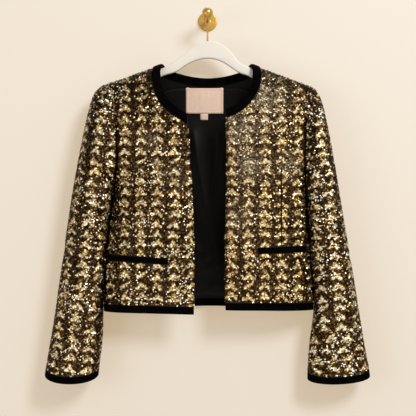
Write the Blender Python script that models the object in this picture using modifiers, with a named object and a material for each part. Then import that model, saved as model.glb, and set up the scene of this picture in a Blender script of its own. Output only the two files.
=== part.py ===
"""A cropped sequin jacket with velvet trim, on a contour hanger and a round wall hook.

Metres, +Z up, front of the jacket to -Y. The origin is the centre of the wall plate's back face, so the wall
is the plane y = 0. Left and right are as seen from the front. Tables are in millimetres.
"""

import math
from collections import namedtuple

import bmesh
import bpy
from mathutils import Euler, Vector
from mathutils.bvhtree import BVHTree

MM = 0.001
GAP = 0.3 * MM
CLOTH = 2.4 * MM
TRIM_CLOTH = 1.2 * MM
LINING_CLOTH = 1.0 * MM
LABEL_CLOTH = 1.0 * MM
HALF_SEAM = 0.45 * MM

# Depth of the hanging body: the seams at the sides and shoulders lie in one plane in front of the wall.
SEAM_Y = -47 * MM
FRONT_DEPTH = 38 * MM
BACK_DEPTH = 38 * MM
SHOULDER_ROLL = 110 * MM
BODY_COLUMNS = 10
COLUMN_CROWDING = 2.1
SECTION_SQUARENESS = 3.0
# Folds have their full height where the depth is at least 1 / FOLD_FADE of its full value.
FOLD_FADE = 1.3
# Points closer than this share of a metre are one vertex.
SAME_PLACE = 1e-6

STRIP_EASE = 0.5 * MM
STATION_GAP = 5 * MM
STATION_TURN = math.radians(7)
NECK_MIDDLE_Z = -105 * MM
NECK_BAND = 16 * MM
NECK_EASE = 1.0 * MM
CUFF_EASE = 0.3 * MM
POCKET_BAND = 12 * MM
POCKET_CLOTH = 1.6 * MM

# One row for each line across the body, from the hem up to the shoulder seam. Outer is the side seam and then
# the armhole. Reach is where the section would close without a sleeve. Front is the centre edge and then the
# neckline, and back is the centre line and then the back neckline.
BodyRow = namedtuple("BodyRow", "outer_x outer_z reach front_x front_z back_x back_z")
LEFT_ROWS = (
    BodyRow(-207.5, -593, 207.5, -27.0, -596.0, 0, -585.5),
    BodyRow(-208.0, -579, 208.0, -27.0, -582.0, 0, -571.5),
    BodyRow(-207.0, -545, 207.0, -26.5, -547.0, 0, -541.0),
    BodyRow(-204.5, -500, 204.5, -26.5, -502.0, 0, -498.0),
    BodyRow(-201.0, -455, 201.0, -27.0, -455.0, 0, -452.0),
    BodyRow(-196.0, -408, 196.0, -28.5, -406.0, 0, -404.0),
    BodyRow(-189.5, -368, 189.5, -31.0, -360.0, 0, -358.0),
    BodyRow(-185.5, -338, 185.5, -33.0, -320.0, 0, -318.0),
    BodyRow(-182.0, -308, 196.0, -35.0, -284.0, 0, -282.0),
    BodyRow(-180.0, -275, 212.0, -37.0, -250.0, 0, -246.0),
    BodyRow(-179.5, -243, 224.0, -38.8, -223.0, 0, -212.0),
    BodyRow(-181.0, -214, 232.0, -39.6, -200.5, 0, -180.0),
    BodyRow(-184.5, -190, 238.0, -53.0, -192.3, 0, -155.0),
    BodyRow(-189.5, -171, 243.0, -70.0, -180.5, 0, -137.0),
    BodyRow(-194.0, -159, 247.0, -81.5, -167.5, 0, -120.9),
    BodyRow(-198.5, -150.5, 250.0, -89.0, -153.0, -34, -117.8),
    BodyRow(-202.5, -144.5, 252.0, -93.5, -135.0, -62, -111.4),
    BodyRow(-205.5, -140.8, 253.0, -95.7, -118.0, -82, -105.0),
    BodyRow(-207.3, -139.0, 254.0, -96.7, -105.0, -92.5, -100.6),
    BodyRow(-208.0, -138.5, 254.0, -97.0, -98.5, -97.0, -98.5),
)
RIGHT_ROWS = (
    BodyRow(212.5, -590, 212.5, 35.7, -588.0, 0, -585.5),
    BodyRow(212.5, -576, 212.5, 35.3, -574.0, 0, -571.5),
    BodyRow(210.5, -543, 210.5, 34.7, -542.0, 0, -541.0),
    BodyRow(207.5, -500, 207.5, 34.5, -500.0, 0, -498.0),
    BodyRow(204.0, -455, 204.0, 35.5, -454.0, 0, -452.0),
    BodyRow(200.5, -408, 200.5, 36.9, -406.0, 0, -404.0),
    BodyRow(199.0, -368, 199.0, 37.3, -360.0, 0, -358.0),
    BodyRow(198.0, -338, 198.0, 37.5, -320.0, 0, -318.0),
    BodyRow(195.5, -308, 209.0, 37.5, -284.0, 0, -282.0),
    BodyRow(194.5, -275, 225.0, 37.2, -250.0, 0, -246.0),
    BodyRow(194.5, -243, 236.0, 36.8, -216.0, 0, -212.0),
    BodyRow(195.5, -214, 243.0, 35.8, -189.5, 0, -180.0),
    BodyRow(197.0, -191, 248.0, 51.0, -184.5, 0, -155.0),
    BodyRow(199.0, -173, 252.0, 66.0, -173.0, 0, -137.0),
    BodyRow(201.0, -161, 255.0, 77.5, -160.5, 0, -120.9),
    BodyRow(202.8, -152.5, 258.0, 85.5, -147.5, 34, -117.8),
    BodyRow(204.2, -146.5, 260.0, 89.8, -133.0, 62, -111.4),
    BodyRow(205.2, -142.8, 261.0, 91.8, -117.0, 80, -105.0),
    BodyRow(205.8, -141.0, 262.0, 93.0, -105.0, 89.5, -100.6),
    BodyRow(206.0, -140.5, 262.0, 93.5, -98.5, 93.5, -98.5),
)
UNDERARM_ROW = 7
NECK_ROW = 11
BACK_NECK_ROW = 14

# One row for each ring of a sleeve, from just past the armhole down to the cuff. Drop is how far the ring's
# front hangs below its sides.
SleeveRing = namedtuple("SleeveRing", "outer_x outer_z inner_x inner_z half_depth drop")
LEFT_RINGS = (
    SleeveRing(-217.5, -144.3, -189.8, -347, 36.0, 0),
    SleeveRing(-227.5, -154.5, -191.3, -359, 38.5, 0),
    SleeveRing(-234.5, -174.0, -193.0, -373, 40.0, 0),
    SleeveRing(-242.5, -207.0, -196.0, -390, 41.0, 0),
    SleeveRing(-252.5, -255.0, -200.0, -412, 41.0, 0),
    SleeveRing(-262.5, -307.0, -202.9, -438, 40.5, 0),
    SleeveRing(-271.5, -358.0, -205.4, -466, 40.0, 0),
    SleeveRing(-279.5, -410.0, -207.8, -497, 39.0, 1),
    SleeveRing(-287.5, -468.0, -209.9, -532, 38.0, 2),
    SleeveRing(-295.5, -524.0, -212.2, -565, 37.0, 4),
    SleeveRing(-303.0, -575.0, -213.2, -598, 36.0, 6),
    SleeveRing(-310.0, -620.0, -213.0, -631, 35.5, 8),
    SleeveRing(-317.0, -662.0, -215.5, -667, 35.0, 10),
    SleeveRing(-321.5, -688.0, -219.0, -688, 35.0, 12),
    SleeveRing(-325.0, -709.0, -221.4, -709, 35.0, 13),
    SleeveRing(-327.0, -722.0, -222.5, -722, 35.0, 13),
)
RIGHT_RINGS = (
    SleeveRing(215.5, -147.0, 202.0, -349, 36.0, 0),
    SleeveRing(224.5, -158.5, 202.5, -361, 38.5, 0),
    SleeveRing(231.0, -178.0, 202.9, -375, 40.0, 0),
    SleeveRing(238.5, -210.0, 203.5, -392, 41.0, 0),
    SleeveRing(247.0, -252.0, 204.5, -414, 41.0, 0),
    SleeveRing(256.0, -302.0, 206.5, -440, 40.0, 0),
    SleeveRing(265.0, -357.0, 208.5, -467, 39.0, 0),
    SleeveRing(273.5, -411.0, 210.9, -498, 37.5, 1),
    SleeveRing(284.0, -469.0, 213.6, -533, 35.5, 2),
    SleeveRing(293.5, -528.0, 217.0, -566, 33.0, 3),
    SleeveRing(302.5, -584.0, 217.3, -598, 30.5, 4),
    SleeveRing(310.0, -629.0, 211.5, -632, 28.5, 5),
    SleeveRing(317.0, -669.0, 207.0, -670, 26.5, 7),
    SleeveRing(321.5, -694.0, 205.4, -696, 25.0, 9),
    SleeveRing(325.2, -712.0, 204.2, -718, 24.3, 9),
    SleeveRing(327.0, -725.0, 204.0, -731, 24.0, 9),
)
# The sleeve's first ring clears the cloth's edge by this much of its thickness where a panel faces sideways.
ARMHOLE_CLEAR = 1.15
RING_POINTS_HALF = 12
RINGS_TO_EVEN_OUT = 5

# A soft fold runs from one point to another across a piece. Height is towards the front, and on the fronts
# and back a trough is negative.
Fold = namedtuple("Fold", "from_x from_z to_x to_z width height")
FRONT_FOLDS = (
    Fold(-172, -400, -178, -600, 22, 2.5),
    Fold(-128, -470, -122, -600, 24, -3.5),
    Fold(-80, -430, -74, -600, 22, -2.5),
    Fold(-44, -360, -30, -600, 18, 3.0),
    Fold(-150, -300, -110, -230, 24, -2.5),
    Fold(48, -330, 44, -590, 20, -3.0),
    Fold(96, -440, 104, -590, 24, -3.0),
    Fold(150, -420, 158, -590, 22, 2.5),
    Fold(168, -310, 132, -225, 24, -2.5),
)
BACK_FOLDS = (
    Fold(-120, -300, -140, -590, 24, -2.5),
    Fold(-62, -240, -70, -590, 26, 3.0),
    Fold(4, -260, -6, -590, 22, -2.0),
    Fold(70, -250, 84, -590, 26, 3.0),
    Fold(128, -310, 150, -590, 24, -2.5),
)
SLEEVE_FOLDS = (
    Fold(-214, -345, -258, -400, 15, -3.5),
    Fold(-226, -455, -278, -520, 17, -4.0),
    Fold(-262, -560, -268, -685, 16, -3.0),
    Fold(219, -493, 232, -566, 11, -3.5),
    Fold(222, -340, 262, -400, 15, -3.5),
    Fold(262, -590, 270, -690, 16, -3.0),
)
LINING_FOLDS = (
    Fold(-36, -215, -4, -440, 9, 3.5),
    Fold(-14, -235, 4, -430, 7, 2.5),
    Fold(36, -225, 8, -450, 9, 3.5),
    Fold(-40, -330, 0, -478, 8, 2.5),
    Fold(44, -340, 6, -480, 8, 2.5),
    Fold(-30, -480, 34, -486, 7, 2.5),
    Fold(-34, -508, 30, -512, 7, 2.5),
    Fold(-60, -545, 64, -540, 9, 2.0),
    Fold(-110, -230, -86, -540, 14, 3.0),
    Fold(112, -230, 90, -540, 14, 3.0),
)

# Pocket strips: one straight line each, from the centre outwards.
PocketLine = namedtuple("PocketLine", "from_x from_z to_x to_z")
POCKET_LINES = {
    "pocket_trim_left": PocketLine(-78.5, -492.0, -198.5, -484.8),
    "pocket_trim_right": PocketLine(100.5, -470.8, 197.5, -467.4),
}
POCKET_STATIONS = 16
# Depth of a place in front of the whole jacket.
BEFORE_ALL = -1.0

# Lining, label and tab inside the back.
LINING_HALF_TOP = 150 * MM
LINING_HALF_HEM = 172 * MM
LINING_TOP = -137.3 * MM
LINING_SIDE_TOP = -205 * MM
LINING_HEM = -566 * MM
LINING_EASE = 0.6 * MM
LINING_TOP_CURVE = 5
LINING_COLUMNS = 22
LINING_ROWS = 15
LABEL_MIDDLE_X = -6 * MM
LABEL_WIDTH = 77 * MM
LABEL_TOP = -139.2 * MM
LABEL_HEIGHT = 52 * MM
LABEL_STATIONS = 6
TAB_MIDDLE_X = -7 * MM
TAB_WIDTH = 16 * MM
TAB_HEIGHT = 13 * MM
TAB_STATIONS = 2

# Hanger: places across it, with the height of its top and bottom edges there.
HANGER_Y = -47 * MM
HANGER_THICK = 10 * MM
HANGER_ROUND = 2 * MM
HangerStation = namedtuple("HangerStation", "x top bottom")
HANGER_STATIONS = (
    HangerStation(-188, -138.5, -153.0),
    HangerStation(-180, -132.8, -155.0),
    HangerStation(-140, -118.0, -141.5),
    HangerStation(-112, -110.2, -129.0),
    HangerStation(-96, -104.8, -121.0),
    HangerStation(-84, -99.4, -116.5),
    HangerStation(-62, -85.5, -109.5),
    HangerStation(-46, -73.0, -98.5),
    HangerStation(-32, -62.3, -91.0),
    HangerStation(-15, -51.5, -85.2),
    HangerStation(0, -48.0, -83.3),
    HangerStation(15, -49.8, -85.2),
    HangerStation(30, -55.5, -90.5),
    HangerStation(44, -65.0, -99.0),
    HangerStation(54, -76.0, -105.5),
    HangerStation(64, -90.5, -112.0),
    HangerStation(81, -99.4, -118.0),
    HangerStation(93, -104.8, -123.5),
    HangerStation(112, -112.2, -132.5),
    HangerStation(140, -120.0, -143.0),
    HangerStation(178, -134.5, -157.0),
    HangerStation(186, -140.0, -154.5),
)

# Wire hook of the hanger, a crook turned about its upright shank.
WIRE_RADIUS = 1.75 * MM
CROOK_RADIUS = 13 * MM
CROOK_TURN = math.radians(65)
CROOK_START = -50
CROOK_END = 205
CROOK_STEP = 17
SHANK_BEND = 9 * MM
SEATING_STEPS = 40

# Wall hook: plate on the wall, stem rising forward, ball at its end.
PLATE_RADIUS = 20 * MM
PLATE_THICK = 5 * MM
PLATE_EDGE = 1.2 * MM
PLATE_SIDES = 40
STEM_RADIUS = 2.5 * MM
STEM_SIDES = 16
BALL_RADIUS = 11 * MM
BALL_SIDES = 24
BALL_RINGS = 14
BALL_Y = -72 * MM
BALL_Z = 4.5 * MM
SHARP_EDGE = math.radians(40)


def clear_scene():
    for old in list(bpy.data.objects):
        bpy.data.objects.remove(old, do_unlink=True)


def paint(name, colour, roughness, metallic=0.0):
    """A plain material, one for each sub-part."""
    material = bpy.data.materials.new(name)
    material.use_nodes = True
    shader = material.node_tree.nodes["Principled BSDF"]
    shader.inputs["Base Color"].default_value = (*colour, 1)
    shader.inputs["Roughness"].default_value = roughness
    shader.inputs["Metallic"].default_value = metallic
    return material


BRONZE_SEQUINS = ((0.11, 0.07, 0.045), 0.35, 0.6)
BLACK_VELVET = ((0.018, 0.014, 0.016), 0.9)
BLACK_SATIN = ((0.012, 0.012, 0.014), 0.3)
PINK_LABEL = ((0.80, 0.66, 0.64), 0.7)
WHITE_HANGER = ((0.84, 0.82, 0.79), 0.4)
BRUSHED_BRASS = ((0.56, 0.45, 0.30), 0.35, 1.0)


def new_part(name, data, finish):
    """Puts a mesh or a curve in the jacket's collection with its own material."""
    part = bpy.data.objects.new(name, data)
    bpy.data.collections["sequin_jacket"].objects.link(part)
    data.materials.append(paint(name, *finish))
    return part


def along_fold(fold, x, z):
    """Height of one fold at a place: full along its line, soft to its sides and ends."""
    start = Vector((fold.from_x, fold.from_z))
    run = Vector((fold.to_x, fold.to_z)) - start
    place = Vector((x / MM, z / MM)) - start
    share = place.dot(run) / run.length_squared
    nearest = start + run * min(1.0, max(0.0, share))
    away = (Vector((x / MM, z / MM)) - nearest).length / fold.width
    return fold.height * MM * math.exp(-away * away)


def folds_height(folds, x, z):
    return sum(along_fold(fold, x, z) for fold in folds)


def between(rows, key, value, height):
    """The value column of a table at a height, read along a straight line between its rows."""
    for low, high in zip(rows, rows[1:]):
        if height / MM <= getattr(high, key):
            break
    span = getattr(high, key) - getattr(low, key)
    share = min(1.0, max(0.0, (height / MM - getattr(low, key)) / span))
    return MM * (getattr(low, value) * (1 - share) + getattr(high, value) * share)


def ridge_height(rows, x):
    """Height of the shoulder seam's line over a place, carried on over the neck."""
    neck = rows[-1]
    slope = (neck.outer_z - neck.front_z) / (abs(neck.outer_x) - abs(neck.front_x))
    return neck.front_z * MM + slope * (abs(x) - abs(neck.front_x) * MM)


def fullness(rows, x, z):
    """Share of the full depth at a place: 0 on the side and shoulder seams, 1 in the middle."""
    reach = between(rows, "outer_z", "reach", z)
    across = max(0.0, 1 - (abs(x) / reach) ** SECTION_SQUARENESS) ** 0.5
    drop = min(1.0, max(0.0, (ridge_height(rows, x) - z) / SHOULDER_ROLL))
    return across * (1 - (1 - drop) ** 2) ** 0.5


def front_place(rows, x, z):
    share = fullness(rows, x, z)
    folds = folds_height(FRONT_FOLDS, x, z) * min(1.0, share * FOLD_FADE)
    return Vector((x, SEAM_Y - HALF_SEAM - (FRONT_DEPTH - HALF_SEAM) * share - folds, z))


def back_place(rows, x, z):
    share = fullness(rows, x, z)
    folds = folds_height(BACK_FOLDS, x, z) * min(1.0, share * FOLD_FADE)
    return Vector((x, SEAM_Y + HALF_SEAM + (BACK_DEPTH - HALF_SEAM) * share - folds, z))


def panel_rows(rows, inner, place):
    """Rows of points from a panel's inner edge to its outer edge, crowded towards the outer edge."""
    lines = []
    for row in rows:
        line = []
        inner_x = getattr(row, inner + "_x") * MM
        inner_z = getattr(row, inner + "_z") * MM
        for column in range(BODY_COLUMNS + 1):
            share = 1 - (1 - column / BODY_COLUMNS) ** COLUMN_CROWDING
            x = inner_x + (row.outer_x * MM - inner_x) * share
            z = inner_z + (row.outer_z * MM - inner_z) * share
            line.append(place(rows, x, z))
        lines.append(line)
    return lines


# A place on a cloth's middle surface, with the normal there.
Spot = namedtuple("Spot", "place normal")


class Surface:
    """An open surface lofted through rows of points, the middle of a cloth wall."""

    def __init__(self, grids, outwards, ring=False):
        self.mesh = bmesh.new()
        self.known = {}
        self.grids = [self.add(grid, ring) for grid in grids]
        bmesh.ops.recalc_face_normals(self.mesh, faces=self.mesh.faces)
        self.mesh.normal_update()
        facing = sum(face.normal.dot(outwards(face.calc_center_median())) for face in self.mesh.faces)
        if facing < 0:
            bmesh.ops.reverse_faces(self.mesh, faces=self.mesh.faces)
            self.mesh.normal_update()
        self.mesh.faces.ensure_lookup_table()
        self.tree = BVHTree.FromBMesh(self.mesh)

    def vertex(self, place):
        """The vertex at a place, shared where two grids meet."""
        key = tuple(round(value / SAME_PLACE) for value in place)
        if key not in self.known:
            self.known[key] = self.mesh.verts.new(place)
        return self.known[key]

    def add(self, grid, ring):
        lines = [[self.vertex(place) for place in line] for line in grid]
        for low, high in zip(lines, lines[1:]):
            count = len(low)
            for i in range(count if ring else count - 1):
                j = (i + 1) % count
                self.mesh.faces.new((low[i], low[j], high[j], high[i]))
        return lines

    def soft_normal(self, place, face_index):
        """The normal at a place on a face, blended from its corners."""
        normal = Vector()
        for vertex in self.mesh.faces[face_index].verts:
            normal += vertex.normal / ((vertex.co - place).length + GAP)
        return normal.normalized()

    def nearest(self, place):
        """The closest place on the surface and the normal there."""
        found, _, face_index, _ = self.tree.find_nearest(place)
        return Spot(found, self.soft_normal(found, face_index))

    def met(self, x, z, start_y, towards_y):
        """The place on the surface met by a line along Y, and the normal there."""
        found, _, face_index, _ = self.tree.ray_cast(Vector((x, start_y, z)), Vector((0, towards_y, 0)))
        return Spot(found, self.soft_normal(found, face_index))

    def data(self, name):
        mesh = bpy.data.meshes.new(name)
        self.mesh.to_mesh(mesh)
        mesh.shade_smooth()
        return mesh


def wall(name, surface, thickness, finish):
    """The solid of a cloth piece: its surface thickened to both sides."""
    part = new_part(name, surface.data(name), finish)
    thicken = part.modifiers.new("Cloth", "SOLIDIFY")
    thicken.thickness = thickness
    thicken.offset = 0
    return part


def towards_front(place):
    return Vector((0, -1, 0))


def towards_back(place):
    return Vector((0, 1, 0))


def build_panels():
    """The two fronts and the back, with the back's halves sharing their centre line."""
    panels = {
        "front_left": Surface([panel_rows(LEFT_ROWS, "front", front_place)], towards_front),
        "front_right": Surface([panel_rows(RIGHT_ROWS, "front", front_place)], towards_front),
        "back": Surface(
            [panel_rows(LEFT_ROWS, "back", back_place), panel_rows(RIGHT_ROWS, "back", back_place)],
            towards_back,
        ),
    }
    for name, surface in panels.items():
        wall(name, surface, CLOTH, BRONZE_SEQUINS)
    return panels


def armhole_ring(front, back, sign):
    """The armhole's points from the underarm up the front and down the back, moved clear of the panels."""
    front_edge = [line[-1] for line in front[UNDERARM_ROW:]]
    back_edge = [line[-1] for line in back[UNDERARM_ROW:]]
    ring = []
    for vertex in front_edge + back_edge[-2:0:-1]:
        clear = GAP + CLOTH * min(1.0, ARMHOLE_CLEAR * abs(vertex.normal.x))
        ring.append(vertex.co + Vector((sign * clear, 0, 0)))
    ring[0] = Vector((ring[0].x, SEAM_Y, ring[0].z))
    ring[RING_POINTS_HALF] = Vector((ring[RING_POINTS_HALF].x, SEAM_Y, ring[RING_POINTS_HALF].z))
    return ring


def half_shares(edge):
    """Shares of the way along an edge at each of its points."""
    lengths = [0.0]
    for one, other in zip(edge, edge[1:]):
        lengths.append(lengths[-1] + (other - one).length)
    return [length / lengths[-1] for length in lengths]


def sleeve_rings(first, table):
    """Rings of points, each an oval from its inner side round the front to its outer side and back."""
    front_shares = half_shares(first[: RING_POINTS_HALF + 1])
    back_shares = half_shares(first[RING_POINTS_HALF:] + first[:1])
    rings = [first]
    for index, ring in enumerate(table, start=1):
        even = min(1.0, index / RINGS_TO_EVEN_OUT)
        outer = Vector((ring.outer_x, 0, ring.outer_z)) * MM
        inner = Vector((ring.inner_x, 0, ring.inner_z)) * MM
        points = []
        for i in range(2 * RING_POINTS_HALF):
            crowded = front_shares[i] if i <= RING_POINTS_HALF else 1 + back_shares[i - RING_POINTS_HALF]
            share = crowded * (1 - even) + even * i / RING_POINTS_HALF
            angle = math.pi * (1 - share)
            place = (outer + inner) / 2 + (outer - inner) / 2 * math.cos(angle)
            depth = ring.half_depth * MM + folds_height(SLEEVE_FOLDS, place.x, place.z)
            place.y = SEAM_Y - depth * math.sin(angle)
            place.z -= ring.drop * MM * math.sin(angle)
            points.append(place)
        rings.append(points)
    return rings


def build_sleeve(name, front, back, table, sign):
    rings = sleeve_rings(armhole_ring(front, back, sign), table)
    middles = [sum(ring, Vector()) / len(ring) for ring in rings]

    def from_middle(place):
        return place - min(middles, key=lambda middle: abs(middle.z - place.z))

    surface = Surface([rings], from_middle, ring=True)
    wall(name, surface, CLOTH, BRONZE_SEQUINS)
    return surface


def spots_of(vertices):
    return [Spot(vertex.co.copy(), vertex.normal.copy()) for vertex in vertices]


def halfway(one, other):
    return Spot((one.place + other.place) / 2, (one.normal + other.normal).normalized())


def eased(edge):
    """The same edge with one spot more wherever the cloth turns sharply from one to the next."""
    spots = edge[:1]
    for spot in edge[1:]:
        last = spots[-1]
        if (spot.place - last.place).length > STATION_GAP and spot.normal.angle(last.normal) > STATION_TURN:
            spots.append(halfway(last, spot))
        spots.append(spot)
    return spots


def binding(name, edge, far, ease=0.0, closed=False, trim_ends=0.0):
    """A folded strip over a raw edge: an outer leg, the turn round the edge and an inner leg.

    Edge and far are the spots at the edge and at the strip's far sides, which are moved out and in.
    """
    leg = CLOTH / 2 + GAP + ease + TRIM_CLOTH / 2
    last = len(edge) - 1
    lines = [[], [], [], []]
    for i, (near, top) in enumerate(zip(edge, far)):
        shorten = Vector()
        if trim_ends and i in (0, last):
            inner = edge[1] if i == 0 else edge[last - 1]
            shorten = (inner.place - near.place).normalized() * trim_ends
        into = (top.place - near.place).normalized()
        turn = near.place - into * (GAP + TRIM_CLOTH / 2)
        lines[0].append(top.place + shorten + top.normal * leg)
        lines[1].append(turn + shorten + near.normal * leg)
        lines[2].append(turn + shorten - near.normal * leg)
        lines[3].append(top.place + shorten - top.normal * leg)
    return wall(name, Surface([lines], towards_front, ring=closed), TRIM_CLOTH, BLACK_VELVET)


def neck_edge(panels):
    """Spots along the neckline, from the left front's corner round the back to the right front's corner."""
    left = spots_of(line[0] for line in panels["front_left"].grids[0][NECK_ROW:])
    right = spots_of(line[0] for line in panels["front_right"].grids[0][NECK_ROW:])
    back_left = spots_of(line[0] for line in panels["back"].grids[0][BACK_NECK_ROW:])
    back_right = spots_of(line[0] for line in panels["back"].grids[1][BACK_NECK_ROW:])
    edge = left[:-1] + [halfway(left[-1], back_left[-1])] + back_left[-2::-1]
    edge += back_right[1:-1] + [halfway(right[-1], back_right[-1])] + right[-2::-1]
    return edge


def below_neck(panel):
    """The place on a front's centre edge one row below its neck corner."""
    return panel.grids[0][NECK_ROW - 1][0].co


def build_neck_trim(panels):
    """One strip round the whole neckline, its ends along the fronts' centre edges."""
    neck_middle = Vector((0, SEAM_Y, NECK_MIDDLE_Z))
    edge = eased(eased(neck_edge(panels)))
    ends = {0: below_neck(panels["front_left"]), len(edge) - 1: below_neck(panels["front_right"])}
    far = []
    for i, spot in enumerate(edge):
        along = edge[min(i + 1, len(edge) - 1)].place - edge[max(i - 1, 0)].place
        into = spot.normal.cross(along).normalized()
        if into.dot(spot.place - neck_middle) < 0:
            into = -into
        width = NECK_BAND
        if i in ends:
            down = (ends[i] - spot.place).normalized()
            width = NECK_BAND / into.dot(down)
            into = down
        wanted = spot.place + into * width
        found = [panel.nearest(wanted) for panel in panels.values()]
        far.append(min(found, key=lambda candidate: (candidate.place - wanted).length))
    binding("neck_trim", edge, far, ease=NECK_EASE)


def build_hem_trims(panels):
    back_left, back_right = panels["back"].grids
    rows = {
        "hem_trim_left": panels["front_left"].grids[0][:2],
        "hem_trim_right": panels["front_right"].grids[0][:2],
        "hem_trim_back": [back_left[row][::-1] + back_right[row][1:] for row in (0, 1)],
    }
    for name, (hem, above) in rows.items():
        binding(name, spots_of(hem), spots_of(above), trim_ends=HALF_SEAM)


def build_cuff_trim(name, sleeve):
    above, cuff = sleeve.grids[0][-2:]
    binding(name, spots_of(cuff), spots_of(above), ease=CUFF_EASE, closed=True)


def build_pocket_trim(name, line, panel):
    """A flat strip that lies on a front at the pocket mouth."""
    lift = CLOTH / 2 + GAP + STRIP_EASE + POCKET_CLOTH / 2
    lines = []
    for side in (-0.5, 0, 0.5):
        places = []
        for station in range(POCKET_STATIONS + 1):
            share = station / POCKET_STATIONS
            x = (line.from_x + (line.to_x - line.from_x) * share) * MM
            z = (line.from_z + (line.to_z - line.from_z) * share) * MM + side * POCKET_BAND
            spot = panel.met(x, z, BEFORE_ALL, 1)
            places.append(spot.place + spot.normal * lift)
        lines.append(places)
    wall(name, Surface([lines], towards_front), POCKET_CLOTH, BLACK_VELVET)


def build_lining(back):
    """The lining hangs inside the back, gathered into soft folds."""
    lines = []
    for row in range(LINING_ROWS + 1):
        up = row / LINING_ROWS
        line = []
        for column in range(LINING_COLUMNS + 1):
            across = 2 * column / LINING_COLUMNS - 1
            x = across * (LINING_HALF_HEM + (LINING_HALF_TOP - LINING_HALF_HEM) * up)
            top = LINING_TOP + (LINING_SIDE_TOP - LINING_TOP) * abs(across) ** LINING_TOP_CURVE
            z = LINING_HEM + (top - LINING_HEM) * up
            clear = CLOTH / 2 + GAP + LINING_EASE + LINING_CLOTH / 2 + folds_height(LINING_FOLDS, x, z)
            spot = back.met(x, z, SEAM_Y, 1)
            line.append(spot.place - spot.normal * clear)
        lines.append(line)
    lining = Surface([lines], towards_front)
    wall("lining_back", lining, LINING_CLOTH, BLACK_SATIN)
    return lining


def build_label(lining, name, middle_x, width, top, height, stations):
    """A small flat piece on the lining, made from the lining's places."""
    clear = LINING_CLOTH / 2 + GAP + LABEL_CLOTH / 2
    lines = []
    for row in range(stations + 1):
        line = []
        for column in range(stations + 1):
            x = middle_x + width * (column / stations - 0.5)
            z = top - height * row / stations
            spot = lining.met(x, z, SEAM_Y, 1)
            line.append(spot.place + spot.normal * clear)
        lines.append(line)
    wall(name, Surface([lines], towards_front), LABEL_CLOTH, PINK_LABEL)


def build_hanger():
    """The flat hanger: an outline from its top and bottom edges, with rounded rims."""
    outline = bpy.data.curves.new("hanger", "CURVE")
    outline.dimensions = "2D"
    outline.fill_mode = "BOTH"
    outline.extrude = HANGER_THICK / 2 - HANGER_ROUND
    outline.bevel_depth = HANGER_ROUND
    outline.bevel_resolution = 1
    outline.offset = -HANGER_ROUND
    tops = [(station.x * MM, station.top * MM) for station in HANGER_STATIONS]
    bottoms = [(station.x * MM, station.bottom * MM) for station in reversed(HANGER_STATIONS)]
    spline = outline.splines.new("POLY")
    spline.points.add(len(tops) + len(bottoms) - 1)
    for point, (x, z) in zip(spline.points, tops + bottoms):
        point.co = (x, z, 0, 1)
    spline.use_cyclic_u = True
    hanger = new_part("hanger", outline, WHITE_HANGER)
    hanger.location.y = HANGER_Y
    hanger.rotation_euler = Euler((math.radians(90), 0, 0))


def stem_height(y):
    """Height of the stem's axis at a depth."""
    return BALL_Z * (y + PLATE_THICK) / (BALL_Y + PLATE_THICK)


def crook_places(middle_z):
    """Places along the crook, from the shank round the top to the tip."""
    places = []
    for degrees in range(CROOK_START, CROOK_END + 1, CROOK_STEP):
        angle = math.radians(degrees)
        out = CROOK_RADIUS * math.cos(angle)
        x = -out * math.cos(CROOK_TURN)
        y = HANGER_Y - out * math.sin(CROOK_TURN)
        places.append(Vector((x, y, middle_z + CROOK_RADIUS * math.sin(angle))))
    return places


def crook_clearance(middle_z):
    """Least distance between the crook's line and the stem's axis."""
    return min(math.hypot(place.x, place.z - stem_height(place.y)) for place in crook_places(middle_z))


def seated_crook():
    """Height of the crook's middle with its wire just clear above the stem."""
    wanted = STEM_RADIUS + WIRE_RADIUS + GAP
    low = stem_height(HANGER_Y) - CROOK_RADIUS
    high = stem_height(HANGER_Y)
    for _ in range(SEATING_STEPS):
        middle = (low + high) / 2
        if crook_clearance(middle) > wanted:
            high = middle
        else:
            low = middle
    return high


def build_hanger_hook():
    middle_z = seated_crook()
    bottom = max(station.top for station in HANGER_STATIONS) * MM + GAP
    bend = middle_z - CROOK_RADIUS - SHANK_BEND
    shank = [Vector((0, HANGER_Y, z)) for z in (bottom, (bottom + bend) / 2, bend)]
    places = shank + crook_places(middle_z)
    wire = bpy.data.curves.new("hanger_hook", "CURVE")
    wire.dimensions = "3D"
    wire.bevel_depth = WIRE_RADIUS
    wire.bevel_resolution = 1
    wire.use_fill_caps = True
    wire.resolution_u = 2
    spline = wire.splines.new("BEZIER")
    spline.bezier_points.add(len(places) - 1)
    for point, place in zip(spline.bezier_points, places):
        point.co = place
        point.handle_left_type = "AUTO"
        point.handle_right_type = "AUTO"
    new_part("hanger_hook", wire, BRUSHED_BRASS)


def build_wall_plate():
    """The disc on the wall, with a rounded front edge."""
    mesh = bmesh.new()
    bmesh.ops.create_cone(
        mesh,
        cap_ends=True,
        segments=PLATE_SIDES,
        radius1=PLATE_RADIUS,
        radius2=PLATE_RADIUS,
        depth=PLATE_THICK,
    )
    rim = [edge for edge in mesh.edges if all(vertex.co.z > 0 for vertex in edge.verts)]
    bmesh.ops.bevel(
        mesh, geom=rim, offset=PLATE_EDGE, segments=2, profile=0.5, affect="EDGES", material=-1
    )
    data = bpy.data.meshes.new("wall_plate")
    mesh.to_mesh(data)
    mesh.free()
    data.shade_smooth()
    data.set_sharp_from_angle(angle=SHARP_EDGE)
    plate = new_part("wall_plate", data, BRUSHED_BRASS)
    plate.location.y = -PLATE_THICK / 2
    plate.rotation_euler = Euler((math.radians(90), 0, 0))


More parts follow.
